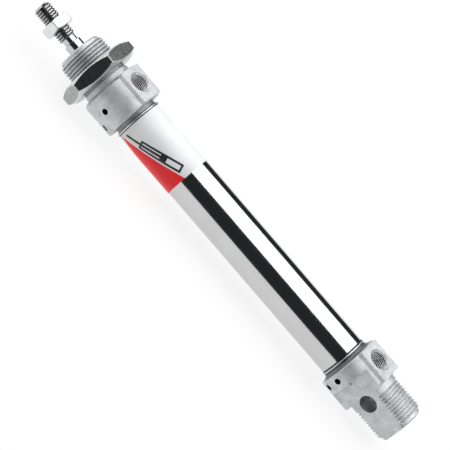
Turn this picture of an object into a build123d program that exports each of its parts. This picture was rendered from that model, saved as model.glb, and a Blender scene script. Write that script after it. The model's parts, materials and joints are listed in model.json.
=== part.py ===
from build123d import *
import os
from math import cos, radians, sin, sqrt

# Double-acting pneumatic cylinder with adjustable end cushions.
# The origin is the centre of the rear pivot hole. +X runs along the axis towards the rod's
# threaded end, +Y along the pivot hole, and +Z up through the two air ports.
# All sizes are in millimetres, and the piston is fully back.

# ------------------------------------------------------------ driving dimensions: working parts
bore_r = 10.0
stroke = 100.0
tube_wall = 0.6
rod_r = 4.0
seal_gap = 0.05  # radial running clearance of seals, bushes and nuts
seat_gap = 0.02  # radial clearance between pieces that don't move on each other
thread_edge = 0.5  # lead-in chamfer of the threads

# ------------------------------------------------------------ driving dimensions: end caps
cap_r = 13.7
cap_edge = 0.5
boss_width = 13.4
boss_top = 13.8  # height of the port face above the axis
boss_turn_back = 0.3  # how far the boss ends are turned back at its outer corners
boss_edge = 0.2  # chamfer round the port face
port_r = 4.283  # G1/8 thread at its core
port_depth = 6.9
port_mouth_r = 5.0
port_passage_r = 2.0
spigot_r = bore_r - seal_gap
o_ring_floor_r = 8.5
o_ring_groove = 2.0
screw_angle = 121.0  # cushion screws: turned from +Z towards +Y
screw_hole_r = 1.5
screw_waist_r = 0.8  # where the screw's sealing ring sits
screw_floor_r = 8.9
screw_head_length = 1.6
screw_waist_length = 0.8
screw_slot_width = 0.5
screw_slot_depth = 0.6
rear_screw_head_r = 12.0  # distance of the screw's head from the X axis
front_screw_head_r = 13.3
blind_hole_r = 1.4
blind_hole_depth = 4.0
passage_r = 0.55
passage_offset = 7.6  # distance of the cushion passage from the axis
mark_r = 0.65  # punch mark on the near flat of the eye
mark_depth = 0.5
mark_inset = 1.1  # distance of the mark from the end of the flat

# ------------------------------------------------------------ driving dimensions: threaded necks
neck_r = 11.0  # M22x1.5
neck_pitch_r = 10.51
neck_pilot_r = 9.8
rod_pitch_r = 3.594  # M8x1.25
nut_cone_slope = 0.55  # the cones at the nuts' ends: advance along the axis over radius
nut_gap = 0.05  # radial clearance between a nut and the thread flanks it sits on
neck_nut_flats = 32.0  # width across flats
neck_nut_face_r = 15.2  # radius of the flat end faces
neck_nut_turn = 1.6  # degrees, turns the nut about the X axis
rod_nut_flats = 13.0
rod_nut_face_r = 6.15
rod_nut_turn = 34.0
neck_relief = 0.4  # depth of the groove behind the neck's thread
neck_relief_width = 1.3

# ------------------------------------------------------------ stations along the axis, rear cap
rear_end = -16.7
rear_thread_start = -14.75
rear_body = 3.2
flat_half_width = 8.0
flat_end = 12.3
pivot_r = 4.0
rear_chamber = 8.0
rear_port = 11.05
rear_screw = 15.8
rear_body_end = 18.8
tube_start = 20.3
rear_spigot = 28.0
rear_chamber_r = 5.0

# ------------------------------------------------------------ stations along the axis, front cap
piston_length = 17.7  # over both bumpers
end_gap = 0.15  # left between a bumper and its cap at the end of the stroke
front_spigot = rear_spigot + stroke + piston_length + 2 * end_gap
tube_end = front_spigot + 7.3
front_body = tube_end + 1.7
front_screw = front_body + 3.6
front_port = front_body + 8.3
front_chamber_end = front_body + 13.0
neck_start = front_body + 16.0
neck_thread = neck_start + 3.5
neck_nut_start = neck_thread + 0.1
neck_nut_length = 7.0
neck_end = neck_thread + 14.5
pilot_end = neck_end + 1.9
front_chamber_r = 5.7
bush_r = 5.0
bush_length = 13.0
gland_r = 7.5
gland_start = pilot_end - 8.1

# ------------------------------------------------------------ stations along the axis, piston and rod
bumper_length = 1.2
piston_back = rear_spigot + end_gap + bumper_length
piston_middle = piston_back + 7.65
piston_front = piston_back + 15.3
piston_r = 9.6
piston_hub_r = 5.4
piston_seal_width = 2.8
piston_seal_inset = 1.3
piston_seal_floor_r = 7.0
magnet_half_length = 1.8
spindle_r = 3.0  # stepped end of the rod, inside the piston
rod_shoulder = pilot_end + 4.1
rod_thread = rod_shoulder + 2.5
rod_nut_start = rod_shoulder + 7.1
rod_nut_length = 4.7
rod_tip = rod_shoulder + 20.0


def turned(outline):
    """A solid turned about the X axis from (station, radius) points."""
    with BuildPart() as piece:
        with BuildSketch(Plane.XZ):
            with BuildLine():
                Polyline(*outline, close=True)
            make_face()
        revolve(axis=Axis.X)
    return piece


def ring(start, end, inner_r, outer_r, edge=0.0):
    """A plain ring about the X axis, with its outer edges chamfered where edge isn't 0."""
    with BuildPart() as piece:
        with BuildSketch(Plane.YZ.offset(start)):
            Circle(outer_r)
            Circle(inner_r, mode=Mode.SUBTRACT)
        extrude(amount=end - start)
        if edge:
            chamfer(piece.edges().filter_by(GeomType.CIRCLE).group_by(SortBy.RADIUS)[-1], edge)
    return piece


def o_ring(station, middle_r, section_r):
    """A round-section ring about the X axis."""
    with BuildPart() as piece:
        with BuildSketch(Plane.XZ):
            with Locations((station, middle_r)):
                Circle(section_r)
        revolve(axis=Axis.X)
    return piece


def lip_seal(start, end, inner_r, outer_r, mouth):
    """A seal ring with a V groove in one end: mouth is +1 if it opens forwards, -1 backwards."""
    open_end, closed_end = (end, start) if mouth > 0 else (start, end)
    middle_r = (inner_r + outer_r) / 2
    groove_depth = 0.55 * (end - start)
    groove_half_width = 0.22 * (outer_r - inner_r)
    return turned(
        [
            (closed_end, inner_r),
            (open_end, inner_r),
            (open_end, middle_r - groove_half_width),
            (open_end - mouth * groove_depth, middle_r),
            (open_end, middle_r + groove_half_width),
            (open_end, outer_r),
            (closed_end, outer_r),
        ]
    )


def hex_nut(start, length, across_flats, hole_r, face_r, turn):
    """A hexagon nut about the X axis, with flat faces out to face_r and shallow cones beyond.
    At turn 0 a corner faces +Y."""
    corner_r = across_flats / sqrt(3)
    corner_cut = (corner_r + 0.5 - face_r) * nut_cone_slope
    with BuildPart() as piece:
        with BuildSketch(Plane.YZ.offset(start)):
            RegularPolygon(corner_r, 6, rotation=turn)
        extrude(amount=length)
        with BuildSketch(Plane.XZ):
            with BuildLine():
                Polyline(
                    (start, 0),
                    (start, face_r),
                    (start + corner_cut, corner_r + 0.5),
                    (start + length - corner_cut, corner_r + 0.5),
                    (start + length, face_r),
                    (start + length, 0),
                    close=True,
                )
            make_face()
        revolve(axis=Axis.X, mode=Mode.INTERSECT)
        with BuildSketch(Plane.YZ.offset(start)):
            Circle(hole_r)
        extrude(amount=length, mode=Mode.SUBTRACT)
        chamfer(piece.edges().filter_by(GeomType.CIRCLE).group_by(SortBy.RADIUS)[0], 0.4)
    return piece


def screw_plane(station, distance):
    """Plane across a cushion screw's axis, facing outwards, at a distance from the X axis."""
    outwards = Vector(0, sin(radians(screw_angle)), cos(radians(screw_angle)))
    return Plane(origin=Vector(station, 0, 0) + outwards * distance, x_dir=(1, 0, 0), z_dir=outwards)


def port_boss(start, end):
    """Boss that carries an air port. Both its ends are turned back to a shallow cone."""
    outer_r = sqrt(boss_top**2 + (boss_width / 2) ** 2) + 0.1
    with BuildPart() as boss:
        with BuildSketch():
            with Locations(((start + end) / 2, 0)):
                Rectangle(end - start, boss_width)
        extrude(amount=boss_top)
        chamfer(boss.faces().sort_by(Axis.Z)[-1].edges(), boss_edge)
        with BuildSketch(Plane.XZ):
            with BuildLine():
                Polyline(
                    (start, 0),
                    (start, cap_r),
                    (start + boss_turn_back, outer_r),
                    (end - boss_turn_back, outer_r),
                    (end, cap_r),
                    (end, 0),
                    close=True,
                )
            make_face()
        revolve(axis=Axis.X, mode=Mode.INTERSECT)
    return boss.part


def air_port(station):
    """Cutter of an air port: tapped hole with a chamfered mouth, and a passage to the axis."""
    with BuildPart() as port:
        with BuildSketch():
            with Locations((station, 0)):
                Circle(port_passage_r)
        extrude(amount=boss_top - port_depth + 0.1)
        with BuildSketch(Plane.XY.offset(boss_top - port_depth)):
            with Locations((station, 0)):
                Circle(port_r)
        extrude(amount=port_depth)
        with BuildSketch(Plane.XY.offset(boss_top - (port_mouth_r - port_r))):
            with Locations((station, 0)):
                Circle(port_r)
        with BuildSketch(Plane.XY.offset(boss_top)):
            with Locations((station, 0)):
                Circle(port_mouth_r)
        loft()
    return port.part


def cushion_way(station, spigot_face, chamber_r):
    """Cutter of a cushion's air way: screw hole, seat to the chamber, and passage to the spigot."""
    with BuildPart() as way:
        with BuildSketch(screw_plane(station, screw_floor_r)):
            Circle(screw_hole_r)
        extrude(amount=cap_r + 1 - screw_floor_r)
        with BuildSketch(screw_plane(station, chamber_r - 1)):
            Circle(passage_r)
        extrude(amount=screw_floor_r + 1 - chamber_r + 0.1)
        start, end = sorted((station, spigot_face))
        with BuildSketch(Plane.YZ.offset(start)):
            with Locations(
                (
                    passage_offset * sin(radians(screw_angle)),
                    passage_offset * cos(radians(screw_angle)),
                )
            ):
                Circle(passage_r)
        extrude(amount=end - start)
    return way.part


def cushion_screw(station, head_r):
    """Slotted screw that throttles a cushion's air way, with its head at distance head_r."""
    body_r = screw_hole_r - seal_gap
    waist_top = head_r - screw_head_length
    waist_bottom = waist_top - screw_waist_length
    with BuildPart() as screw:
        with BuildSketch(screw_plane(station, waist_top)):
            Circle(body_r)
        extrude(amount=screw_head_length)
        with BuildSketch(screw_plane(station, waist_bottom - 0.1)):
            Circle(screw_waist_r)
        extrude(amount=screw_waist_length + 0.2)
        with BuildSketch(screw_plane(station, screw_floor_r + 0.2)):
            Circle(body_r)
        extrude(amount=waist_bottom - screw_floor_r - 0.2)
        with BuildSketch(screw_plane(station, screw_floor_r + 0.25)):
            Circle(passage_r - 0.1)
        extrude(amount=-0.9, taper=12)
        with BuildSketch(screw_plane(station, head_r - screw_slot_depth)):
            Rectangle(2 * screw_hole_r, screw_slot_width)
        extrude(amount=screw_slot_depth + 0.4, mode=Mode.SUBTRACT)
    return screw


def screw_o_ring(station, head_r):
    """Small sealing ring in the groove of a cushion screw."""
    groove_middle = screw_plane(station, head_r - screw_head_length - screw_waist_length / 2)
    section_r = 0.3
    with BuildPart() as piece:
        with BuildSketch(Plane(groove_middle.origin, x_dir=(1, 0, 0), z_dir=groove_middle.y_dir)):
            with Locations((screw_waist_r + seat_gap + section_r, 0)):
                Circle(section_r)
        revolve(axis=Axis(groove_middle.origin, groove_middle.z_dir))
    return piece


# ------------------------------------------------------------ rear cap: pivot eye, thread, port
with BuildPart() as rear_cap:
    with BuildSketch(Plane.XZ):
        with BuildLine():
            flare_start = (rear_body_end, cap_r - 0.3)
            flare_end = (tube_start, bore_r + tube_wall + 0.1)
            Polyline(
                flare_end,
                (tube_start, spigot_r),
                (rear_spigot - 0.5, spigot_r),
                (rear_spigot, spigot_r - 0.5),
                (rear_spigot, 0),
                (rear_end, 0),
                (rear_end, neck_r - 1.8),
                (rear_end + 0.5, neck_r - 1.3),
                (rear_thread_start, neck_r - 1.3),
                (rear_thread_start, neck_r - thread_edge),
                (rear_thread_start + thread_edge, neck_r),
                (rear_body, neck_r),
                (rear_body, cap_r - cap_edge),
                (rear_body + cap_edge, cap_r),
                (rear_body_end - 0.3, cap_r),
                flare_start,
            )
            RadiusArc(flare_start, flare_end, -2.3)
        make_face()
    revolve(axis=Axis.X)
    add(port_boss(rear_body, rear_body_end - 0.1))
    # two milled flats make the eye
    with BuildSketch(Plane.YZ.offset(rear_end - 1)):
        with Locations((flat_half_width + 5, 0), (-flat_half_width - 5, 0)):
            Rectangle(10, 4 * cap_r)
    extrude(amount=flat_end - rear_end + 1, mode=Mode.SUBTRACT)
    with BuildSketch(Plane.XZ.offset(-cap_r)):
        Circle(pivot_r)
    extrude(amount=2 * cap_r, mode=Mode.SUBTRACT)
    # bored from the spigot: cushion chamber and the groove of its seal
    with BuildSketch(Plane.XZ):
        with BuildLine():
            Polyline(
                (rear_chamber, 0),
                (rear_chamber, rear_chamber_r),
                (rear_spigot - 3.5, rear_chamber_r),
                (rear_spigot - 3.5, rear_chamber_r + 1.6),
                (rear_spigot - 1.0, rear_chamber_r + 1.6),
                (rear_spigot - 1.0, rear_chamber_r),
                (rear_spigot + 1.0, rear_chamber_r),
                (rear_spigot + 1.0, 0),
                close=True,
            )
        make_face()
        with Locations((rear_spigot - 3.4, (o_ring_floor_r + spigot_r) / 2 + 0.5)):
            Rectangle(o_ring_groove, spigot_r - o_ring_floor_r + 1.0)
    revolve(axis=Axis.X, mode=Mode.SUBTRACT)
    add(air_port(rear_port), mode=Mode.SUBTRACT)
    add(cushion_way(rear_screw, rear_spigot, rear_chamber_r), mode=Mode.SUBTRACT)
    with BuildSketch(Plane.XZ.offset(-cap_r)):
        with Locations((rear_screw, 0)):
            Circle(blind_hole_r)
    extrude(amount=blind_hole_depth, mode=Mode.SUBTRACT)
    # punch mark on the near flat
    with BuildSketch(Plane.XZ.offset(-flat_half_width)):
        with Locations((flat_end - mark_inset, 0)):
            Circle(mark_r)
    extrude(amount=mark_depth, mode=Mode.SUBTRACT)
rear_cap.part.label = "rear_cap"

# ------------------------------------------------------------ front cap: port, mounting neck
with BuildPart() as front_cap:
    with BuildSketch(Plane.XZ):
        with BuildLine():
            Polyline(
                (front_spigot, 0),
                (front_spigot, spigot_r - 0.5),
                (front_spigot + 0.5, spigot_r),
                (front_body, spigot_r),
                (front_body, cap_r - 0.3),
                (front_body + 0.3, cap_r),
                (neck_start - 1.0, cap_r),
                (neck_start, cap_r - 1.0),
                (neck_start, neck_r),
                (neck_thread - neck_relief_width, neck_r),
                (neck_thread - neck_relief_width, neck_r - neck_relief),
                (neck_thread, neck_r - neck_relief),
                (neck_thread, neck_pitch_r),
                (neck_nut_start + neck_nut_length + 0.1, neck_pitch_r),
                (neck_nut_start + neck_nut_length + 0.1, neck_r),
                (neck_end - thread_edge, neck_r),
                (neck_end, neck_r - thread_edge),
                (neck_end, neck_pilot_r),
                (pilot_end - 0.7, neck_pilot_r),
                (pilot_end, neck_pilot_r - 0.7),
                (pilot_end, 0),
                close=True,
            )
        make_face()
    revolve(axis=Axis.X)
    add(port_boss(front_body + 0.1, neck_start - 0.1))
    # bored through: cushion chamber with the groove of its seal, bush seat and seal gland
    with BuildSketch(Plane.XZ):
        with BuildLine():
            Polyline(
                (front_spigot - 1.0, 0),
                (front_spigot - 1.0, front_chamber_r),
                (front_spigot + 1.0, front_chamber_r),
                (front_spigot + 1.0, front_chamber_r + 1.3),
                (front_spigot + 3.5, front_chamber_r + 1.3),
                (front_spigot + 3.5, front_chamber_r),
                (front_chamber_end, front_chamber_r),
                (front_chamber_end, bush_r),
                (gland_start, bush_r),
                (gland_start, gland_r),
                (pilot_end + 1.0, gland_r),
                (pilot_end + 1.0, 0),
                close=True,
            )
        make_face()
        with Locations((front_spigot + 3.4, (o_ring_floor_r + spigot_r) / 2 + 0.5)):
            Rectangle(o_ring_groove, spigot_r - o_ring_floor_r + 1.0)
    revolve(axis=Axis.X, mode=Mode.SUBTRACT)
    add(air_port(front_port), mode=Mode.SUBTRACT)
    add(cushion_way(front_screw, front_spigot, front_chamber_r), mode=Mode.SUBTRACT)
    with BuildSketch(Plane.XZ.offset(-cap_r)):
        with Locations((front_port, 0)):
            Circle(blind_hole_r)
    extrude(amount=blind_hole_depth, mode=Mode.SUBTRACT)
front_cap.part.label = "front_cap"

# ------------------------------------------------------------ tube, rolled into a bead at each end
tube_r = bore_r + tube_wall
cylinder_tube = turned(
    [
        (tube_start, bore_r),
        (tube_start, tube_r),
        (tube_start + 0.4, tube_r + 0.4),
        (tube_start + 1.1, tube_r + 0.4),
        (tube_start + 1.5, tube_r),
        (tube_end - 1.3, tube_r),
        (tube_end - 1.0, tube_r + 0.4),
        (tube_end - 0.3, tube_r + 0.4),
        (tube_end, tube_r),
        (tube_end, bore_r),
    ]
)
cylinder_tube.part.label = "cylinder_tube"

label_length = 31.0
label_gap = 1.2  # the two ends of the film stop short of each other, opposite the screws
label_start = tube_end - 1.4 - label_length
with BuildPart() as tube_label:
    with BuildSketch(Plane.YZ.offset(label_start)):
        Circle(tube_r + 0.11)
        Circle(tube_r + 0.01, mode=Mode.SUBTRACT)
    extrude(amount=label_length)
    with BuildSketch(screw_plane(label_start + label_length / 2, -2 * tube_r)):
        Rectangle(2 * label_length, label_gap)
    extrude(amount=1.5 * tube_r, mode=Mode.SUBTRACT)
tube_label.part.label = "tube_label"

# ------------------------------------------------------------ rod
piston_rod = turned(
    [
        (piston_back - 11.0, 0),
        (piston_back - 11.0, spindle_r - 0.4),
        (piston_back - 10.6, spindle_r),
        (piston_front, spindle_r),
        (piston_front, rod_r),
        (rod_shoulder - 0.3, rod_r),
        (rod_shoulder, rod_r - 0.3),
        (rod_shoulder, rod_r - 0.85),
        (rod_thread, rod_r - 0.85),
        (rod_thread + 0.4, rod_r),
        (rod_nut_start - 0.1, rod_r),
        (rod_nut_start - 0.1, rod_pitch_r),
        (rod_nut_start + rod_nut_length + 0.1, rod_pitch_r),
        (rod_nut_start + rod_nut_length + 0.1, rod_r),
        (rod_tip - 0.9, rod_r),
        (rod_tip, rod_r - 0.9),
        (rod_tip, 0),
    ]
)
piston_rod.part.label = "piston_rod"

# ------------------------------------------------------------ piston: two halves clamp the magnet
magnet_back = piston_middle - magnet_half_length
magnet_front = piston_middle + magnet_half_length
rear_seal = piston_back + piston_seal_inset
front_seal = piston_front - piston_seal_inset - piston_seal_width
rod_seat_r = spindle_r + seat_gap

rear_piston_half = turned(
    [
        (piston_back, rod_seat_r),
        (piston_back, piston_r),
        (rear_seal, piston_r),
        (rear_seal, piston_seal_floor_r),
        (rear_seal + piston_seal_width, piston_seal_floor_r),
        (rear_seal + piston_seal_width, piston_r),
        (magnet_back, piston_r),
        (magnet_back, piston_hub_r),
        (piston_middle, piston_hub_r),
        (piston_middle, rod_seat_r),
    ]
)
rear_piston_half.part.label = "rear_piston_half"

static_ring_r = 0.75
static_groove = piston_front - 4.0
front_piston_half = turned(
    [
        (piston_front, rod_seat_r),
        (piston_front, piston_r),
        (front_seal + piston_seal_width, piston_r),
        (front_seal + piston_seal_width, piston_seal_floor_r),
        (front_seal, piston_seal_floor_r),
        (front_seal, piston_r),
        (magnet_front, piston_r),
        (magnet_front, piston_hub_r),
        (piston_middle, piston_hub_r),
        (piston_middle, rod_seat_r),
        (static_groove - 1.0, rod_seat_r),
        (static_groove - 1.0, rod_seat_r + 1.6),
        (static_groove + 1.0, rod_seat_r + 1.6),
        (static_groove + 1.0, rod_seat_r),
    ]
)
front_piston_half.part.label = "front_piston_half"

piston_o_ring = o_ring(static_groove, rod_seat_r + static_ring_r + 0.03, static_ring_r)
piston_o_ring.part.label = "piston_o_ring"

magnet_ring = ring(magnet_back + 0.1, magnet_front - 0.1, piston_hub_r + seat_gap, 8.5)
magnet_ring.part.label = "magnet_ring"

guide_ring = ring(magnet_back + 0.1, magnet_front - 0.1, 8.7, bore_r - seal_gap)
guide_ring.part.label = "guide_ring"

seal_inner_r = piston_seal_floor_r + seal_gap
rear_piston_seal = lip_seal(
    rear_seal + 0.1, rear_seal + piston_seal_width - 0.1, seal_inner_r, bore_r - seal_gap, -1
)
rear_piston_seal.part.label = "rear_piston_seal"
front_piston_seal = lip_seal(
    front_seal + 0.1, front_seal + piston_seal_width - 0.1, seal_inner_r, bore_r - seal_gap, 1
)
front_piston_seal.part.label = "front_piston_seal"

rear_bumper = ring(piston_back - bumper_length, piston_back, 8.3, piston_r - 0.1)
rear_bumper.part.label = "rear_bumper"
front_bumper = ring(piston_front, piston_front + bumper_length, 8.3, piston_r - 0.1)
front_bumper.part.label = "front_bumper"

# ------------------------------------------------------------ cushions
rear_spear_r = rear_chamber_r - 0.5
rear_cushion_spear = turned(
    [
        (piston_back, rod_seat_r),
        (piston_back, rear_spear_r),
        (piston_back - 13.5, rear_spear_r),
        (piston_back - 15.0, rear_spear_r - 0.8),
        (piston_back - 15.0, 0),
        (piston_back - 11.5, 0),
        (piston_back - 11.5, rod_seat_r),
    ]
)
rear_cushion_spear.part.label = "rear_cushion_spear"

front_sleeve_r = front_chamber_r - 0.5
front_cushion_sleeve = turned(
    [
        (piston_front, rod_r + seat_gap),
        (piston_front, front_sleeve_r),
        (piston_front + 12.5, front_sleeve_r),
        (piston_front + 14.0, front_sleeve_r - 0.7),
        (piston_front + 14.0, rod_r + seat_gap),
    ]
)
front_cushion_sleeve.part.label = "front_cushion_sleeve"

rear_cushion_seal = lip_seal(
    rear_spigot - 3.4, rear_spigot - 1.1, rear_spear_r + seal_gap, rear_chamber_r + 1.55, 1
)
rear_cushion_seal.part.label = "rear_cushion_seal"
front_cushion_seal = lip_seal(
    front_spigot + 1.1, front_spigot + 3.4, front_sleeve_r + seal_gap, front_chamber_r + 1.25, -1
)
front_cushion_seal.part.label = "front_cushion_seal"

rear_cushion_screw = cushion_screw(rear_screw, rear_screw_head_r)
rear_cushion_screw.part.label = "rear_cushion_screw"
front_cushion_screw = cushion_screw(front_screw, front_screw_head_r)
front_cushion_screw.part.label = "front_cushion_screw"
rear_screw_o_ring = screw_o_ring(rear_screw, rear_screw_head_r)
rear_screw_o_ring.part.label = "rear_screw_o_ring"
front_screw_o_ring = screw_o_ring(front_screw, front_screw_head_r)
front_screw_o_ring.part.label = "front_screw_o_ring"

# ------------------------------------------------------------ static tube seals
tube_ring_r = (bore_r - o_ring_floor_r) / 2 - seat_gap
tube_ring_middle_r = (bore_r + o_ring_floor_r) / 2
rear_tube_o_ring = o_ring(rear_spigot - 3.4, tube_ring_middle_r, tube_ring_r)
rear_tube_o_ring.part.label = "rear_tube_o_ring"
front_tube_o_ring = o_ring(front_spigot + 3.4, tube_ring_middle_r, tube_ring_r)
front_tube_o_ring.part.label = "front_tube_o_ring"

# ------------------------------------------------------------ rod guide and gland
rod_bush = ring(
    gland_start - bush_length, gland_start - 0.2, rod_r + seal_gap, bush_r - seat_gap, edge=0.3
)
rod_bush.part.label = "rod_bush"
rod_seal = lip_seal(gland_start + 0.2, gland_start + 5.2, rod_r + seal_gap, gland_r - seat_gap, -1)
rod_seal.part.label = "rod_seal"
seal_retainer = ring(gland_start + 5.4, pilot_end - 0.6, rod_r + 0.35, gland_r - seat_gap, edge=0.3)
seal_retainer.part.label = "seal_retainer"

# ------------------------------------------------------------ nuts
neck_nut = hex_nut(
    neck_nut_start,
    neck_nut_length,
    neck_nut_flats,
    neck_pitch_r + nut_gap,
    neck_nut_face_r,
    neck_nut_turn,
)
neck_nut.part.label = "neck_nut"
rod_nut = hex_nut(
    rod_nut_start,
    rod_nut_length,
    rod_nut_flats,
    rod_pitch_r + nut_gap,
    rod_nut_face_r,
    rod_nut_turn,
)
rod_nut.part.label = "rod_nut"

os.makedirs("parts", exist_ok=True)
pieces = [
    rear_cap,
    front_cap,
    cylinder_tube,
    tube_label,
    piston_rod,
    rear_piston_half,
    front_piston_half,
    piston_o_ring,
    magnet_ring,
    guide_ring,
    rear_piston_seal,
    front_piston_seal,
    rear_bumper,
    front_bumper,
    rear_cushion_spear,
    front_cushion_sleeve,
    rear_cushion_seal,
    front_cushion_seal,
    rear_cushion_screw,
    front_cushion_screw,
    rear_screw_o_ring,
    front_screw_o_ring,
    rear_tube_o_ring,
    front_tube_o_ring,
    rod_bush,
    rod_seal,
    seal_retainer,
    neck_nut,
    rod_nut,
]
for piece in pieces:
    export_step(piece.part, f"parts/{piece.part.label}.step")
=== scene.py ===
import json
from math import ceil, cos, hypot, radians, sin, tan, tau

import bmesh
import bpy
from mathutils import Matrix, Vector


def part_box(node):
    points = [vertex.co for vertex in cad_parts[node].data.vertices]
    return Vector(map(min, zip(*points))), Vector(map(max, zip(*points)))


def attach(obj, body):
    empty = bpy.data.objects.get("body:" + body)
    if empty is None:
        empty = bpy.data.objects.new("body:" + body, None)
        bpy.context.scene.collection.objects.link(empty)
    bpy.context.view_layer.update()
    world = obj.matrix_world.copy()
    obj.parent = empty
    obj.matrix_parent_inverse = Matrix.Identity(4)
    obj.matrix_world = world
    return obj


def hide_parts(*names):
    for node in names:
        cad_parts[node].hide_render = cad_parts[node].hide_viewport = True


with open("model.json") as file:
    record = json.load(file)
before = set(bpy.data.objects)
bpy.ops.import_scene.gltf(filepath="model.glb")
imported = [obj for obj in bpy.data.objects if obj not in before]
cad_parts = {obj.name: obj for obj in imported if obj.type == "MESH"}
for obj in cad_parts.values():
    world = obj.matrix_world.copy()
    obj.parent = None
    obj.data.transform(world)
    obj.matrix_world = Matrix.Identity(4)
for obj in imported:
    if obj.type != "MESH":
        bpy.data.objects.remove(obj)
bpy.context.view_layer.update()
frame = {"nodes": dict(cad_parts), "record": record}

MM = 0.001

# ------------------------------------------------------------ places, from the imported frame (metres)
tube_low, tube_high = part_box("cylinder_tube")
label_low, label_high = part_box("tube_label")
rear_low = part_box("rear_cap")[0]
front_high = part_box("front_cap")[1]
rod_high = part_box("piston_rod")[1]
neck_nut_low, neck_nut_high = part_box("neck_nut")
rod_nut_low, rod_nut_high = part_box("rod_nut")
mounts = {m["name"]: m for m in frame["record"]["mounts"]}
hinges = {j["name"]: j for j in frame["record"]["behaviour"]["joints"]}


def mount_x(name):
    return mounts[name]["pos_m"][0]


def mount_r(name):
    return mounts[name]["dims"]["r_mm"] * MM


# ------------------------------------------------------------ mesh helpers
def shade(mesh, sharp_angle=30.0):
    """Smooth faces, with edges sharper than the angle kept hard."""
    bm = bmesh.new()
    bm.from_mesh(mesh)
    for face in bm.faces:
        face.smooth = True
    for edge in bm.edges:
        edge.smooth = edge.is_manifold and edge.calc_face_angle() < radians(sharp_angle)
    bm.to_mesh(mesh)
    bm.free()


def new_piece(name, bm, sharp_angle=30.0):
    """Turns a bmesh into a shown object with outward normals."""
    bmesh.ops.recalc_face_normals(bm, faces=bm.faces)
    mesh = bpy.data.meshes.new(name)
    bm.to_mesh(mesh)
    bm.free()
    shade(mesh, sharp_angle)
    piece = bpy.data.objects.new(name, mesh)
    bpy.context.scene.collection.objects.link(piece)
    return piece


def copy_of_node(node, name):
    """A separate, welded copy of a CAD node's mesh, to be cut into finer shape."""
    bm = bmesh.new()
    bm.from_mesh(frame["nodes"][node].data)
    bmesh.ops.remove_doubles(bm, verts=bm.verts, dist=1e-6)
    bmesh.ops.dissolve_degenerate(bm, edges=bm.edges, dist=1e-7)
    return new_piece(name, bm)


def cut(piece, cutters):
    """Cuts the tools out of a piece. New faces keep the tools' material."""
    for tool in cutters:
        step = piece.modifiers.new("cut", "BOOLEAN")
        step.operation = "DIFFERENCE"
        step.solver = "EXACT"
        step.material_mode = "TRANSFER"
        step.object = tool
    bpy.context.view_layer.update()
    shaped = bpy.data.meshes.new_from_object(
        piece.evaluated_get(bpy.context.evaluated_depsgraph_get())
    )
    piece.modifiers.clear()
    piece.data = shaped
    bm = bmesh.new()
    bm.from_mesh(shaped)
    bmesh.ops.remove_doubles(bm, verts=bm.verts, dist=5e-7)
    bmesh.ops.dissolve_degenerate(bm, edges=bm.edges, dist=5e-7)
    bmesh.ops.recalc_face_normals(bm, faces=bm.faces)
    bm.to_mesh(shaped)
    bm.free()
    shade(shaped)
    for tool in cutters:
        bpy.data.objects.remove(tool)
    return piece


def mark_faces(piece, finish, chosen):
    """Gives another finish to the faces that chosen(centre, distance from the X axis) picks."""
    piece.data.materials.append(finish)
    index = len(piece.data.materials) - 1
    for face in piece.data.polygons:
        if chosen(face.center, hypot(face.center.y, face.center.z)):
            face.material_index = index
    return piece


def turned(name, outline):
    """A ring-shaped solid turned about the X axis from a closed outline of (x, radius)."""
    segments = 192
    bm = bmesh.new()
    rings = []
    for i in range(segments):
        angle = tau * i / segments
        rings.append([bm.verts.new((x, r * sin(angle), r * cos(angle))) for x, r in outline])
    points = len(outline)
    for i in range(segments):
        for j in range(points):
            here, there = rings[i], rings[(i + 1) % segments]
            k = (j + 1) % points
            bm.faces.new((here[j], here[k], there[k], there[j]))
    return new_piece(name, bm)


def arc(centre, radius, start, end, steps):
    """Points of an arc in the (x, radius) plane. Angles are in degrees from +x."""
    points = []
    for i in range(steps + 1):
        angle = radians(start + (end - start) * i / steps)
        points.append((centre[0] + radius * cos(angle), centre[1] + radius * sin(angle)))
    return points


def thread_cutter(name, start, end, pitch, tip_r, open_r, tip_half, steps=72, fade_end=0):
    """Helical V groove cutter about the X axis, from its open radius to its tip. steps are points
    a turn, tip_half is half the tip's width, and fade_end is the turns over which it runs out."""
    flank = radians(30)
    least_depth = 0.02
    turns = (end - start) / pitch
    count = ceil(turns * steps)
    bm = bmesh.new()
    sections = []
    for i in range(count + 1):
        turn = turns * i / count
        depth = min(1.0, (turns - turn) / fade_end) if fade_end else 1.0
        tip = open_r + (tip_r - open_r) * max(depth, least_depth)
        half_open = tip_half + abs(tip - open_r) * tan(flank)
        x = start + (end - start) * i / count
        angle = tau * turn
        section = []
        for dx, r in ((-half_open, open_r), (-tip_half, tip), (tip_half, tip), (half_open, open_r)):
            section.append(bm.verts.new((x + dx, -r * sin(angle), r * cos(angle))))
        sections.append(section)
    for here, there in zip(sections, sections[1:]):
        for j in range(4):
            k = (j + 1) % 4
            bm.faces.new((here[j], here[k], there[k], there[j]))
    bm.faces.new(sections[0])
    bm.faces.new(reversed(sections[-1]))
    return new_piece(name, bm)


def stand_up(piece, at):
    """Turns a tool made along X so that it stands along +Z at a point of the X axis."""
    piece.data.transform(Matrix.Translation((at, 0, 0)) @ Matrix.Rotation(radians(-90), 4, "Y"))
    return piece


# ------------------------------------------------------------ shader helpers
def material(name):
    made = bpy.data.materials.new(name)
    made.use_nodes = True
    return made, made.node_tree, made.node_tree.nodes["Principled BSDF"]


def surface_place(tree, scale=(1.0, 1.0, 1.0)):
    """The surface point in metres, stretched by scale along each axis."""
    place = tree.nodes.new("ShaderNodeTexCoord")
    mapping = tree.nodes.new("ShaderNodeMapping")
    mapping.inputs["Scale"].default_value = scale
    tree.links.new(place.outputs["Object"], mapping.inputs["Vector"])
    return mapping.outputs["Vector"]


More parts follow.
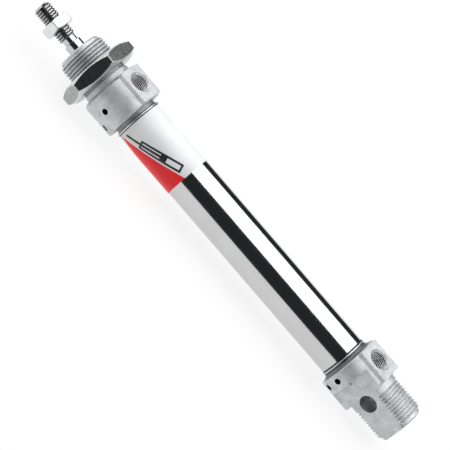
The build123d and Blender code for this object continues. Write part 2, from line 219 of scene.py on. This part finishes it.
def noise(tree, place, scale, detail=3.0, rough=0.5):
    node = tree.nodes.new("ShaderNodeTexNoise")
    node.inputs["Scale"].default_value = scale
    node.inputs["Detail"].default_value = detail
    node.inputs["Roughness"].default_value = rough
    tree.links.new(place, node.inputs["Vector"])
    return node.outputs["Fac"]


def ramp(tree, value, low, high, positions=(0.3, 0.7)):
    node = tree.nodes.new("ShaderNodeValToRGB")
    ends = node.color_ramp.elements
    ends[0].position, ends[1].position = positions
    ends[0].color = low if len(low) == 4 else (*low, 1.0)
    ends[1].color = high if len(high) == 4 else (*high, 1.0)
    tree.links.new(value, node.inputs["Fac"])
    return node.outputs["Color"]


def spread(tree, value, low, high, from_low=0.3, from_high=0.7):
    """Maps a value from one range to another, and holds it at the ends."""
    node = tree.nodes.new("ShaderNodeMapRange")
    node.inputs["From Min"].default_value = from_low
    node.inputs["From Max"].default_value = from_high
    node.inputs["To Min"].default_value = low
    node.inputs["To Max"].default_value = high
    tree.links.new(value, node.inputs["Value"])
    return node.outputs["Result"]


def bump(tree, shader, heights):
    """Stacks bump nodes: heights is a list of (value, strength, distance in metres)."""
    normal = None
    for value, strength, distance in heights:
        node = tree.nodes.new("ShaderNodeBump")
        node.inputs["Strength"].default_value = strength
        node.inputs["Distance"].default_value = distance
        tree.links.new(value, node.inputs["Height"])
        if normal is not None:
            tree.links.new(normal, node.inputs["Normal"])
        normal = node.outputs["Normal"]
    tree.links.new(normal, shader.inputs["Normal"])


def multiply(tree, colour, factor):
    """A colour made darker or lighter by a plain factor."""
    node = tree.nodes.new("ShaderNodeVectorMath")
    node.operation = "SCALE"
    tree.links.new(colour, node.inputs[0])
    tree.links.new(factor, node.inputs["Scale"])
    return node.outputs["Vector"]


def distance_from_axis(keep, at=0.0):
    """Returns a function that adds nodes for the surface point's distance, in metres, from a line
    along X or Z. keep has a 0 for the line's own axis, and at is the line's place along X."""

    def build(tree):
        shift = tree.nodes.new("ShaderNodeVectorMath")
        shift.operation = "SUBTRACT"
        shift.inputs[1].default_value = (at * keep[0], 0.0, 0.0)
        tree.links.new(surface_place(tree, keep), shift.inputs[0])
        length = tree.nodes.new("ShaderNodeVectorMath")
        length.operation = "LENGTH"
        tree.links.new(shift.outputs["Vector"], length.inputs[0])
        return length.outputs["Value"]

    return build


def edge_wear_and_highlight(tree):
    """Brightness factor that is higher along outer edges: the finish is worn off there, and the edges
    carry a painted highlight.
    """
    node = tree.nodes.new("ShaderNodeAmbientOcclusion")
    node.inside = True
    node.only_local = True
    node.samples = 8
    node.inputs["Distance"].default_value = 0.0004
    return spread(tree, node.outputs["AO"], 1.22, 1.0, 0.45, 0.85)


# ------------------------------------------------------------ materials
def satin_aluminium(name, dark, light, rough_low, rough_high, root=None):
    """Blasted aluminium with worn edges that also carry a painted highlight. For a thread, root is
    (distance, radius that is still bright, radius that is darkest, share of the brightness left there):
    painted shade towards the root, in place of the edge wear and highlight."""
    made, tree, shader = material(name)
    cloud = noise(tree, surface_place(tree), 240.0, 5.0, 0.62)
    speck = noise(tree, surface_place(tree), 1300.0, 4.0, 0.7)
    grain = noise(tree, surface_place(tree), 4200.0, 3.0, 0.6)
    turning = noise(tree, surface_place(tree, (1.0, 0.12, 0.12)), 3600.0, 3.0, 0.55)
    shader.inputs["Metallic"].default_value = 0.75
    colour = ramp(tree, cloud, dark, light)
    colour = multiply(tree, colour, spread(tree, speck, 0.84, 1.08))
    if root:
        distance, bright_r, dark_r, at_root = root
        low, high = sorted((bright_r, dark_r))
        at_low, at_high = (at_root, 1.0) if dark_r < bright_r else (1.0, at_root)
        # painted shade: the colour darkens towards the thread's root
        colour = multiply(tree, colour, spread(tree, distance(tree), at_low, at_high, low, high))
    else:
        # worn edges, lightened also as a painted highlight
        colour = multiply(tree, colour, edge_wear_and_highlight(tree))
    tree.links.new(colour, shader.inputs["Base Color"])
    tree.links.new(spread(tree, grain, rough_low, rough_high), shader.inputs["Roughness"])
    bump(tree, shader, [(speck, 0.5, 0.0001), (turning, 0.15, 0.00002), (grain, 0.45, 0.00003)])
    return made


def polished_tube():
    made, tree, shader = material("polished_stainless")
    drawn = noise(tree, surface_place(tree, (0.02, 1.0, 1.0)), 4200.0, 3.0, 0.6)
    cloud = noise(tree, surface_place(tree), 60.0)
    shader.inputs["Metallic"].default_value = 1.0
    tree.links.new(
        ramp(tree, cloud, (0.55, 0.55, 0.555), (0.60, 0.60, 0.605)), shader.inputs["Base Color"]
    )
    tree.links.new(spread(tree, drawn, 0.07, 0.13), shader.inputs["Roughness"])
    bump(tree, shader, [(drawn, 0.06, 0.00001)])
    return made


def chromed_rod():
    made, tree, shader = material("hard_chrome")
    ground = noise(tree, surface_place(tree, (6.0, 1.0, 1.0)), 900.0, 3.0, 0.6)
    shader.inputs["Metallic"].default_value = 1.0
    tree.links.new(
        ramp(tree, ground, (0.53, 0.54, 0.54), (0.61, 0.61, 0.62)), shader.inputs["Base Color"]
    )
    tree.links.new(spread(tree, ground, 0.09, 0.16), shader.inputs["Roughness"])
    bump(tree, shader, [(ground, 0.05, 0.00001)])
    return made


def bright_nut(name, dark, light, rough_low, rough_high):
    made, tree, shader = material(name)
    cloud = noise(tree, surface_place(tree), 420.0, 5.0, 0.65)
    brushed = noise(tree, surface_place(tree, (0.08, 1.0, 1.0)), 3000.0, 3.0, 0.6)
    shader.inputs["Metallic"].default_value = 1.0
    tree.links.new(ramp(tree, cloud, dark, light), shader.inputs["Base Color"])
    tree.links.new(spread(tree, brushed, rough_low, rough_high), shader.inputs["Roughness"])
    bump(tree, shader, [(cloud, 0.08, 0.0001), (brushed, 0.1, 0.00001)])
    return made


def moulded_rubber(name, dark, light):
    made, tree, shader = material(name)
    cloud = noise(tree, surface_place(tree), 700.0, 4.0, 0.6)
    grain = noise(tree, surface_place(tree), 7000.0)
    tree.links.new(ramp(tree, cloud, dark, light), shader.inputs["Base Color"])
    tree.links.new(spread(tree, cloud, 0.5, 0.7), shader.inputs["Roughness"])
    bump(tree, shader, [(grain, 0.2, 0.00002)])
    return made


def moulded_plastic(name, dark, light):
    made, tree, shader = material(name)
    cloud = noise(tree, surface_place(tree), 500.0)
    grain = noise(tree, surface_place(tree), 5000.0)
    tree.links.new(ramp(tree, cloud, dark, light), shader.inputs["Base Color"])
    tree.links.new(spread(tree, grain, 0.35, 0.5), shader.inputs["Roughness"])
    bump(tree, shader, [(grain, 0.15, 0.00002)])
    return made


def sintered_bronze():
    made, tree, shader = material("sintered_bronze")
    pores = noise(tree, surface_place(tree), 6000.0, 5.0, 0.7)
    shader.inputs["Metallic"].default_value = 1.0
    colour = ramp(tree, pores, (0.20, 0.11, 0.05), (0.66, 0.43, 0.20), (0.35, 0.5))
    tree.links.new(colour, shader.inputs["Base Color"])
    tree.links.new(spread(tree, pores, 0.6, 0.35), shader.inputs["Roughness"])
    bump(tree, shader, [(pores, 0.4, 0.00004)])
    return made


def printed_film(name, dark, light, specular=0.5):
    """Glossy printed label film, with slight unevenness of the film and the ink."""
    made, tree, shader = material(name)
    cloud = noise(tree, surface_place(tree), 120.0)
    grain = noise(tree, surface_place(tree), 2500.0)
    tree.links.new(ramp(tree, cloud, dark, light), shader.inputs["Base Color"])
    shader.inputs["Specular IOR Level"].default_value = specular
    tree.links.new(spread(tree, cloud, 0.32, 0.42), shader.inputs["Roughness"])
    bump(tree, shader, [(grain, 0.05, 0.00001)])
    return made


satin_dark, satin_light = (0.53, 0.55, 0.56), (0.74, 0.76, 0.77)
aluminium = satin_aluminium("satin_aluminium", satin_dark, satin_light, 0.46, 0.64)


def outer_thread_shaded_finish(thread, at_root):
    """Finish of the M22 threads, with painted shade towards their root. at_root is the brightness left
    at their root.
    """
    bright_above = mount_r("neck_thread") - 0.55 * MM
    dark_below = bright_above - 0.4 * MM
    root = (distance_from_axis((0.0, 1.0, 1.0)), bright_above, dark_below, at_root)
    return satin_aluminium(f"{thread}_aluminium", satin_dark, satin_light, 0.40, 0.58, root)


def port_thread_painted_light(port):
    """A port's thread, much lighter than the cap's aluminium as painted light inside the bore, and
    almost black at its root as painted shade.
    """
    bright_below = mount_r(port) + 0.05 * MM
    dark_above = mount_r(port) + 0.3 * MM
    root = (distance_from_axis((1.0, 1.0, 0.0), mount_x(port)), bright_below, dark_above, 0.02)
    dark, light = (0.90, 0.91, 0.91), (0.98, 0.99, 0.99)
    return satin_aluminium(f"{port}_thread_aluminium", dark, light, 0.30, 0.45, root)


# M22 threads with painted shade in their roots
outer_thread_shaded_aluminium = {
    "rear_thread": outer_thread_shaded_finish("rear_thread", 0.95),
    "neck_thread": outer_thread_shaded_finish("neck_thread", 0.4),
}
# painted light on the port threads' faces, painted shade at their root
port_thread_lit_and_shaded = {port: port_thread_painted_light(port) for port in ("rear_port", "front_port")}
bored_aluminium = satin_aluminium("bored_aluminium", (0.42, 0.43, 0.43), (0.55, 0.56, 0.56), 0.35, 0.5)
# dark copy of the aluminium: painted shade in recesses, on the rear flare and in the neck's grooves
recess_shade_aluminium = satin_aluminium(
    "recess_shade_aluminium", (0.13, 0.14, 0.14), (0.22, 0.23, 0.23), 0.4, 0.6
)
# darker copy of the aluminium: painted shade on the front spigot between the tube and the cap's body
spigot_shade_aluminium = satin_aluminium("spigot_shade_aluminium", (0.25, 0.27, 0.27), (0.40, 0.42, 0.42), 0.4, 0.6)
# near black copy of the aluminium: painted shade inside holes
hole_shade_aluminium = satin_aluminium(
    "hole_shade_aluminium", (0.04, 0.045, 0.045), (0.09, 0.095, 0.095), 0.5, 0.7
)
stainless = polished_tube()
chrome = chromed_rod()
neck_nut_steel = bright_nut("neck_nut_steel", (0.28, 0.31, 0.30), (0.42, 0.45, 0.44), 0.20, 0.30)
# lighter copy of the neck nut's steel for its chamfer rims: painted highlight
chamfer_highlight_steel = bright_nut("chamfer_highlight_steel", (0.66, 0.68, 0.68), (0.80, 0.82, 0.82), 0.42, 0.56)
rod_nut_steel = bright_nut("zinc_plate", (0.70, 0.71, 0.72), (0.82, 0.83, 0.83), 0.25, 0.36)
screw_steel = bright_nut("turned_steel", (0.70, 0.70, 0.70), (0.82, 0.82, 0.82), 0.2, 0.3)
retainer_steel = bright_nut("pressed_steel", (0.52, 0.52, 0.53), (0.64, 0.64, 0.64), 0.3, 0.4)
turned_aluminium = bright_nut("turned_aluminium", (0.72, 0.72, 0.73), (0.82, 0.82, 0.83), 0.25, 0.4)
rolled_steel = bright_nut("rolled_steel", (0.55, 0.55, 0.56), (0.72, 0.72, 0.73), 0.32, 0.46)
# near black steel: painted shade in the gaps beside the tube's beads
seam_shade_steel = bright_nut("seam_shade_steel", (0.03, 0.03, 0.03), (0.08, 0.08, 0.08), 0.4, 0.5)
# dark steel: painted shade in the rod's thread grooves, and the rear cushion screw's colour
dark_steel_and_thread_shade = bright_nut("dark_steel_and_thread_shade", (0.16, 0.16, 0.165), (0.36, 0.36, 0.37), 0.3, 0.4)
rubber = moulded_rubber("nitrile_rubber", (0.012, 0.012, 0.013), (0.03, 0.03, 0.032))
bumper_rubber = moulded_rubber("bumper_rubber", (0.03, 0.03, 0.033), (0.06, 0.06, 0.066))
guide_plastic = moulded_plastic("filled_ptfe", (0.04, 0.09, 0.06), (0.07, 0.14, 0.10))
magnet_plastic = moulded_plastic("bonded_ferrite", (0.03, 0.028, 0.028), (0.07, 0.066, 0.065))
bronze = sintered_bronze()
white_film = printed_film("white_film", (0.79, 0.80, 0.81), (0.84, 0.85, 0.86))
red_ink = printed_film("red_ink", (0.86, 0.012, 0.016), (0.93, 0.020, 0.024), 0.3)
black_ink = printed_film("black_ink", (0.012, 0.014, 0.014), (0.025, 0.027, 0.027))


def paint(piece, paint_with):
    piece.data.materials.clear()
    piece.data.materials.append(paint_with)


def finish_piece(piece, body, replaced, paint_with=None):
    """Puts a piece on its body. paint_with is left out where the piece is painted already."""
    if paint_with:
        paint(piece, paint_with)
    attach(piece, body)
    for node in replaced:
        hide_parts(node)


# ------------------------------------------------------------ end caps with real threads
# the rear thread has the neck thread's size, M22 x 1.5
neck_pitch = 1.5 * MM
neck_r = mount_r("neck_thread")
neck_root_r = neck_r - 0.90 * MM
neck_cut_r = neck_r + 0.12 * MM  # the cutter's outer radius, just clear of the crests
neck_tip_half = 0.07 * MM
port_pitch = 0.907 * MM
port_depth = 6.9 * MM
boss_top = 13.8 * MM
flare_r = 13.4 * MM
screw_hole_r = 1.52 * MM
blind_hole_r = 1.42 * MM
blind_hole_floor = 9 * MM  # everything of a blind hole lies further out than this


def port_thread(port):
    """Cutter of a G1/8 port's thread: 28 turns to the inch, from the bottom to the chamfer."""
    core_r = mount_r(port)
    tool = thread_cutter(
        f"{port}_tool",
        start=boss_top - port_depth + 0.3 * MM,
        end=boss_top - 0.6 * MM,
        pitch=port_pitch,
        tip_r=core_r + 0.58 * MM,
        open_r=core_r - 0.06 * MM,
        tip_half=0.04 * MM,
        steps=56,
        fade_end=0.7,
    )
    # painted light on the thread faces, painted shade at their root
    paint(tool, port_thread_lit_and_shaded[port])
    return stand_up(tool, mount_x(port))


def paint_hole_shade(piece, screw_joint, blind_x):
    """Near black painted shade inside a cap's screw hole and its blind hole, which is drilled along -Y.
    """
    on_axis = Vector(hinges[screw_joint]["pos_m"])
    screw_axis = Vector(hinges[screw_joint]["axis"])

    def in_hole(centre, r):
        from_screw_axis = (centre - on_axis).cross(screw_axis).length
        from_blind_axis = hypot(centre.x - blind_x, centre.z)
        in_screw_hole = from_screw_axis < screw_hole_r and centre.y > 0
        return in_screw_hole or (from_blind_axis < blind_hole_r and centre.y > blind_hole_floor)

    mark_faces(piece, hole_shade_aluminium, in_hole)


def rear_cap_piece():
    piece = copy_of_node("rear_cap", "rear_cap_threaded")
    outer = thread_cutter(
        "rear_thread_tool",
        start=rear_low.x + 1.3 * MM,
        end=0.3 * MM,  # the origin is the pivot hole's centre
        pitch=neck_pitch,
        tip_r=neck_root_r,
        open_r=neck_cut_r,
        tip_half=neck_tip_half,
        fade_end=0.3,
    )
    port = port_thread("rear_port")
    paint(piece, aluminium)
    # the cut thread faces get painted shade towards their root
    paint(outer, outer_thread_shaded_aluminium["rear_thread"])
    cut(piece, [outer, port])
    body_end = tube_low.x - 1.5 * MM
    # painted shade on the flare between the cap's body and the tube
    mark_faces(piece, recess_shade_aluminium, lambda c, r: body_end < c.x < tube_low.x and r < flare_r)
    paint_hole_shade(piece, "rear_screw_turn", blind_x=hinges["rear_screw_turn"]["pos_m"][0])
    pivot_r = mount_r("rear_pivot") + 0.1 * MM
    return mark_faces(piece, bored_aluminium, lambda c, r: hypot(c.x, c.z) < pivot_r)


def neck_groove(index):
    """Cutter of one of the two V grooves in the neck behind its nut."""
    first_from_nut = 1.015 * MM
    spacing = 0.55 * MM
    middle = neck_nut_low.x - first_from_nut + index * spacing
    half_mouth = 0.285 * MM
    half_floor = 0.065 * MM
    mouth_r = neck_r + 0.3 * MM
    floor_r = neck_r - 0.85 * MM
    groove = turned(
        f"neck_groove_tool_{index}",
        [
            (middle - half_mouth, mouth_r),
            (middle - half_floor, floor_r),
            (middle + half_floor, floor_r),
            (middle + half_mouth, mouth_r),
        ],
    )
    # painted shade on the groove's faces
    paint(groove, recess_shade_aluminium)
    return groove


def front_cap_piece():
    piece = copy_of_node("front_cap", "front_cap_threaded")
    outer = thread_cutter(
        "neck_thread_tool",
        start=neck_nut_high.x - 0.5 * MM,
        end=front_high.x - 1.4 * MM,
        pitch=neck_pitch,
        tip_r=neck_root_r,
        open_r=neck_cut_r,
        tip_half=neck_tip_half,
    )
    port = port_thread("front_port")
    paint(piece, aluminium)
    # the cut thread faces get painted shade towards their root
    paint(outer, outer_thread_shaded_aluminium["neck_thread"])
    cut(piece, [outer, port, neck_groove(0), neck_groove(1)])
    body_start = tube_high.x + 1.7 * MM
    spigot_inner_r = 9.5 * MM
    spigot_outer_r = 10.1 * MM

    def on_spigot(centre, r):
        # painted shade on the whole spigot, because its long faces run from inside the tube to the
        # recess
        return centre.x < body_start and spigot_inner_r < r < spigot_outer_r

    paint_hole_shade(piece, "front_screw_turn", blind_x=mount_x("front_port"))
    return mark_faces(piece, spigot_shade_aluminium, on_spigot)


finish_piece(rear_cap_piece(), "barrel", ["rear_cap"])
finish_piece(front_cap_piece(), "barrel", ["front_cap"])


# ------------------------------------------------------------ rod with its M8 thread
def rod_piece():
    piece = copy_of_node("piston_rod", "piston_rod_threaded")
    pitch = 1.25 * MM
    root_r = mount_r("rod_thread") - 0.72 * MM
    cut_r = mount_r("rod_thread") + 0.1 * MM
    tip_half = 0.06 * MM
    under_nut = 0.5 * MM
    stretches = {
        "rod_thread_tool_a": (rod_high.x - 18.2 * MM, rod_nut_low.x + under_nut),
        "rod_thread_tool_b": (rod_nut_high.x - under_nut, rod_high.x + 0.6 * MM),
    }
    paint(piece, chrome)
    cutters = []
    for name, (start, end) in stretches.items():
        tool = thread_cutter(name, start, end, pitch, root_r, cut_r, tip_half, steps=48)
        # the cut thread grooves get painted shade
        paint(tool, dark_steel_and_thread_shade)
        cutters.append(tool)
    return cut(piece, cutters)


finish_piece(rod_piece(), "rod", ["piston_rod"])


# ------------------------------------------------------------ tube with rolled beads
def tube_piece():
    inner = 10.0 * MM
    outer = 10.6 * MM
    start, end = tube_low.x, tube_high.x
    bead_r = 0.40 * MM
    bead_middle_r = tube_high.z - bead_r
    dip = 0.12 * MM  # the tube narrows a little beside each bead
    bead_angles = (205, -25)
    rear_bead_x = start + 0.85 * MM
    front_bead_x = end - 0.65 * MM
    rear_bead = arc((rear_bead_x, bead_middle_r), bead_r, *bead_angles, 14)
    front_bead = arc((front_bead_x, bead_middle_r), bead_r, *bead_angles, 14)
    outline = [(start, inner), (start, outer - dip), *rear_bead]
    outline += [(start + 1.5 * MM, outer - dip), (start + 1.9 * MM, outer)]
    outline += [(end - 1.7 * MM, outer), (end - 1.35 * MM, outer - dip), *front_bead]
    outline += [(end, outer - dip), (end, inner)]
    piece = turned("tube_shell", outline)
    paint(piece, stainless)

    def near_bead(centre):
        return centre.x < start + 1.9 * MM or centre.x > end - 1.6 * MM

    mark_faces(piece, rolled_steel, lambda c, r: near_bead(c) and r > outer)
    # painted shade on the tube's ends and in the dips beside its beads
    return mark_faces(piece, seam_shade_steel, lambda c, r: near_bead(c) and inner < r < outer + dip)


finish_piece(tube_piece(), "barrel", ["cylinder_tube"])


# ------------------------------------------------------------ label film and its print
film_inner_r = 10.61 * MM
film_r = 10.71 * MM
ink_inner_r = film_r + 0.002 * MM
ink_r = film_r + 0.02 * MM


def on_tube(x, around, r):
    """A point of the tube's surface: around is the angle from +Z towards +Y, in radians."""
    return (x, r * sin(around), r * cos(around))


def wrapped_sheet(name, grid, inner_r, outer_r):
    """A closed thin shell from a grid of (x, around) points laid on the tube."""
    rows, columns = len(grid), len(grid[0])
    bm = bmesh.new()
    top = [[bm.verts.new(on_tube(x, a, outer_r)) for x, a in row] for row in grid]
    under = [[bm.verts.new(on_tube(x, a, inner_r)) for x, a in row] for row in grid]
    for i in range(rows - 1):
        for j in range(columns - 1):
            bm.faces.new((top[i][j], top[i][j + 1], top[i + 1][j + 1], top[i + 1][j]))
            bm.faces.new((under[i][j], under[i + 1][j], under[i + 1][j + 1], under[i][j + 1]))
    border = [(0, j) for j in range(columns)]
    border += [(i, columns - 1) for i in range(1, rows)]
    border += [(rows - 1, j) for j in range(columns - 2, -1, -1)]
    border += [(i, 0) for i in range(rows - 2, 0, -1)]
    for (i, j), (k, m) in zip(border, border[1:] + border[:1]):
        bm.faces.new((top[i][j], under[i][j], under[k][m], top[k][m]))
    bmesh.ops.remove_doubles(bm, verts=bm.verts, dist=1e-7)
    return new_piece(name, bm)


def film_piece():
    """The film goes all round, with a narrow seam on the side away from the wedge."""
    half_gap = 0.6 * MM / film_r
    seam = radians(301)
    columns = 180
    steps = [seam + half_gap + (tau - 2 * half_gap) * j / columns for j in range(columns + 1)]
    grid = [[(x, around) for around in steps] for x in (label_low.x, label_high.x)]
    return wrapped_sheet("label_film", grid, film_inner_r, film_r)


finish_piece(film_piece(), "barrel", ["tube_label"], white_film)

wedge_tip = radians(118)
wedge_half_angle = radians(59)


def wedge_piece():
    """Red wedge: a point at the front edge of the film, widest at its rear edge."""
    rows, columns = 24, 60
    grid = []
    for i in range(rows + 1):
        share = i / rows
        x = label_high.x + (label_low.x - label_high.x) * share
        half = wedge_half_angle * share
        grid.append([(x, wedge_tip - half + 2 * half * j / columns) for j in range(columns + 1)])
    return wrapped_sheet("label_wedge", grid, ink_inner_r, ink_r)


finish_piece(wedge_piece(), "barrel", [], red_ink)


def slanted(along, above):
    """A label point from its distance along the wedge's upper edge and its height above it."""
    length = label_high.x - label_low.x
    rise = wedge_half_angle * film_r
    run = hypot(length, rise)
    forward, up = length / run, rise / run
    x = label_high.x - along * forward + above * up
    around = wedge_tip * film_r - along * up - above * forward
    return (x, around / film_r)


def stroke(name, low, high):
    """A straight printed bar between two corners, in (along, above) millimetres."""
    step = 0.4
    columns = max(2, ceil((high[0] - low[0]) / step))
    rows = max(1, ceil((high[1] - low[1]) / step))
    grid = []
    for i in range(rows + 1):
        above = (low[1] + (high[1] - low[1]) * i / rows) * MM
        row = []
        for j in range(columns + 1):
            along = (low[0] + (high[0] - low[0]) * j / columns) * MM
            row.append(slanted(along, above))
        grid.append(row)
    return wrapped_sheet(name, grid, ink_inner_r, ink_r)


def symbol_pieces():
    """Graphic symbol of a cylinder: barrel, piston and rod. Corners are in millimetres."""
    bars = {
        "barrel_bottom": ((9.5, 0.7), (30.0, 1.6)),
        "barrel_top": ((9.5, 3.7), (30.0, 4.6)),
        "barrel_front": ((9.5, 1.6), (10.4, 3.7)),
        "barrel_rear": ((29.1, 1.6), (30.0, 3.7)),
        "piston": ((19.6, 1.6), (22.6, 3.7)),
        "rod": ((2.5, 2.1), (19.6, 3.2)),
    }
    for part, (low, high) in bars.items():
        finish_piece(stroke(f"symbol_{part}", low, high), "barrel", [], black_ink)


symbol_pieces()


# ------------------------------------------------------------ nuts
nut_cone_slope = 0.55


def nut_piece(name, low, high, across_flats, bore_r, face_r, turn, flats, rims):
    """Hexagon nut with chamfered faces and lightly rounded edges. face_r is the radius of its flat
    faces, turn is a corner's angle from +Y in degrees, and rims is the material of its chamfers, on the
    neck nut a lighter copy of its steel as painted highlight."""
    flat = across_flats / 2
    corner = flat / cos(radians(30))
    largest_r = corner - 0.0875 * MM  # rounds the six corners off
    edge_half = 0.1 * MM
    edge_drop = 0.14 * MM
    mouth = 0.4 * MM
    steps = 30
    bm = bmesh.new()
    columns = []
    for side in range(6):
        for i in range(steps):
            offset = -30 + 60 * i / steps
            side_r = min(flat / cos(radians(offset)), largest_r)
            angle = radians(turn + 30 + 60 * side + offset)
            cone = (side_r - face_r) * nut_cone_slope
            profile = [
                (low.x + mouth, bore_r),
                (low.x, bore_r + mouth),
                (low.x, face_r),
                (low.x + cone - edge_half, side_r - edge_drop),
                (low.x + cone + edge_half, side_r),
                (high.x - cone - edge_half, side_r),
                (high.x - cone + edge_half, side_r - edge_drop),
                (high.x, face_r),
                (high.x, bore_r + mouth),
                (high.x - mouth, bore_r),
            ]
            columns.append([bm.verts.new((x, r * cos(angle), r * sin(angle))) for x, r in profile])
    for i, here in enumerate(columns):
        there = columns[(i + 1) % len(columns)]
        for j in range(len(here)):
            k = (j + 1) % len(here)
            bm.faces.new((here[j], here[k], there[k], there[j]))
    piece = new_piece(name, bm, 12.0)
    paint(piece, flats)
    middle = (low.x + high.x) / 2
    return mark_faces(
        piece, rims, lambda c, r: abs(c.x - middle) > (high.x - low.x) / 4 and r > 0.98 * face_r
    )


neck_nut_piece = nut_piece(
    "neck_nut_finished",
    neck_nut_low,
    neck_nut_high,
    across_flats=32 * MM,
    bore_r=10.56 * MM,
    face_r=15.2 * MM,
    turn=1.6,
    flats=neck_nut_steel,
    rims=chamfer_highlight_steel,
)
rod_nut_piece = nut_piece(
    "rod_nut_finished",
    rod_nut_low,
    rod_nut_high,
    across_flats=13 * MM,
    bore_r=3.644 * MM,
    face_r=6.15 * MM,
    turn=34.0,
    flats=rod_nut_steel,
    rims=rod_nut_steel,
)
finish_piece(neck_nut_piece, "neck_nut", ["neck_nut"])
finish_piece(rod_nut_piece, "rod_nut", ["rod_nut"])

# ------------------------------------------------------------ pieces that keep their CAD shape
kept_nodes = {
    "rear_piston_half": turned_aluminium,
    "front_piston_half": turned_aluminium,
    "rear_cushion_spear": turned_aluminium,
    "front_cushion_sleeve": turned_aluminium,
    "piston_o_ring": rubber,
    "rear_piston_seal": rubber,
    "front_piston_seal": rubber,
    "rear_cushion_seal": rubber,
    "front_cushion_seal": rubber,
    "rear_screw_o_ring": rubber,
    "front_screw_o_ring": rubber,
    "rear_tube_o_ring": rubber,
    "front_tube_o_ring": rubber,
    "rod_seal": rubber,
    "rear_bumper": bumper_rubber,
    "front_bumper": bumper_rubber,
    "magnet_ring": magnet_plastic,
    "guide_ring": guide_plastic,
    "rod_bush": bronze,
    "seal_retainer": retainer_steel,
    "rear_cushion_screw": dark_steel_and_thread_shade,
    "front_cushion_screw": screw_steel,
}
for node, finish in kept_nodes.items():
    paint(frame["nodes"][node], finish)


# ------------------------------------------------------------ camera
def camera():
    """Looks down at 38 degrees from the +Y side, rolled so that the rod points to the upper left."""
    elevation = radians(38)
    roll = radians(-49.24)
    distance = 0.932
    towards = Vector((0, cos(elevation), sin(elevation)))
    level_right = Vector((-1, 0, 0))
    level_up = Vector((0, -sin(elevation), cos(elevation)))
    right = cos(roll) * level_right - sin(roll) * level_up
    up = sin(roll) * level_right + cos(roll) * level_up
    aim = Vector((0.0954, 0.0008, -0.0011))
    lens = bpy.data.cameras.new("camera")
    lens.lens = 178
    lens.sensor_width = 36
    lens.clip_start = 0.05
    lens.clip_end = 20
    holder = bpy.data.objects.new("camera", lens)
    bpy.context.scene.collection.objects.link(holder)
    axes = Matrix((right, up, towards)).transposed().to_4x4()
    holder.matrix_world = Matrix.Translation(aim + towards * distance) @ axes
    bpy.context.scene.camera = holder


camera()


# ------------------------------------------------------------ stage and light
def floor():
    """Pale floor just under the neck nut, the lowest part at rest."""
    half = 4.0
    level = neck_nut_low.z - 0.3 * MM
    bm = bmesh.new()
    corners = [(-half, -half), (half, -half), (half, half), (-half, half)]
    bm.faces.new([bm.verts.new((x + 0.1, y, level)) for x, y in corners])
    made = new_piece("floor", bm)
    finish, _, shader = material("pale_floor")
    shader.inputs["Base Color"].default_value = (0.12, 0.12, 0.12, 1.0)
    shader.inputs["Roughness"].default_value = 0.9
    shader.inputs["Emission Color"].default_value = (1.0, 1.0, 1.0, 1.0)
    shader.inputs["Emission Strength"].default_value = 0.86
    paint(made, finish)


def softbox(name, outwards, distance, size_x, size_y, strength):
    """Rectangular lamp, distance away in the direction outwards, that faces the object. size_x is
    its size at right angles to Y, and size_y the other way."""
    lamp = bpy.data.lights.new(name, "AREA")
    lamp.shape = "RECTANGLE"
    lamp.size = size_x
    lamp.size_y = size_y
    lamp.energy = strength
    holder = bpy.data.objects.new(name, lamp)
    bpy.context.scene.collection.objects.link(holder)
    across = Vector((0, 1, 0)).cross(outwards).normalized()
    axes = Matrix((across, outwards.cross(across), outwards)).transposed().to_4x4()
    holder.matrix_world = Matrix.Translation(Vector((0.1, 0, 0)) + outwards * distance) @ axes


floor()
lean = radians(-12)  # the overhead lamp leans away from the camera
overhead = Vector((0, sin(lean), cos(lean)))
rod_side = Vector((0.94, 0, 0.34))
softbox("overhead_softbox", overhead, distance=0.9, size_x=2.4, size_y=1.35, strength=22.0)
softbox("rod_side_softbox", rod_side, distance=1.5, size_x=0.5, size_y=0.8, strength=5.0)

world = bpy.data.worlds.new("studio")
world.use_nodes = True
world.node_tree.nodes["Background"].inputs["Color"].default_value = (0.82, 1.0, 0.98, 1.0)
world.node_tree.nodes["Background"].inputs["Strength"].default_value = 0.03
bpy.context.scene.world = world
bpy.context.scene.view_settings.view_transform = "Standard"
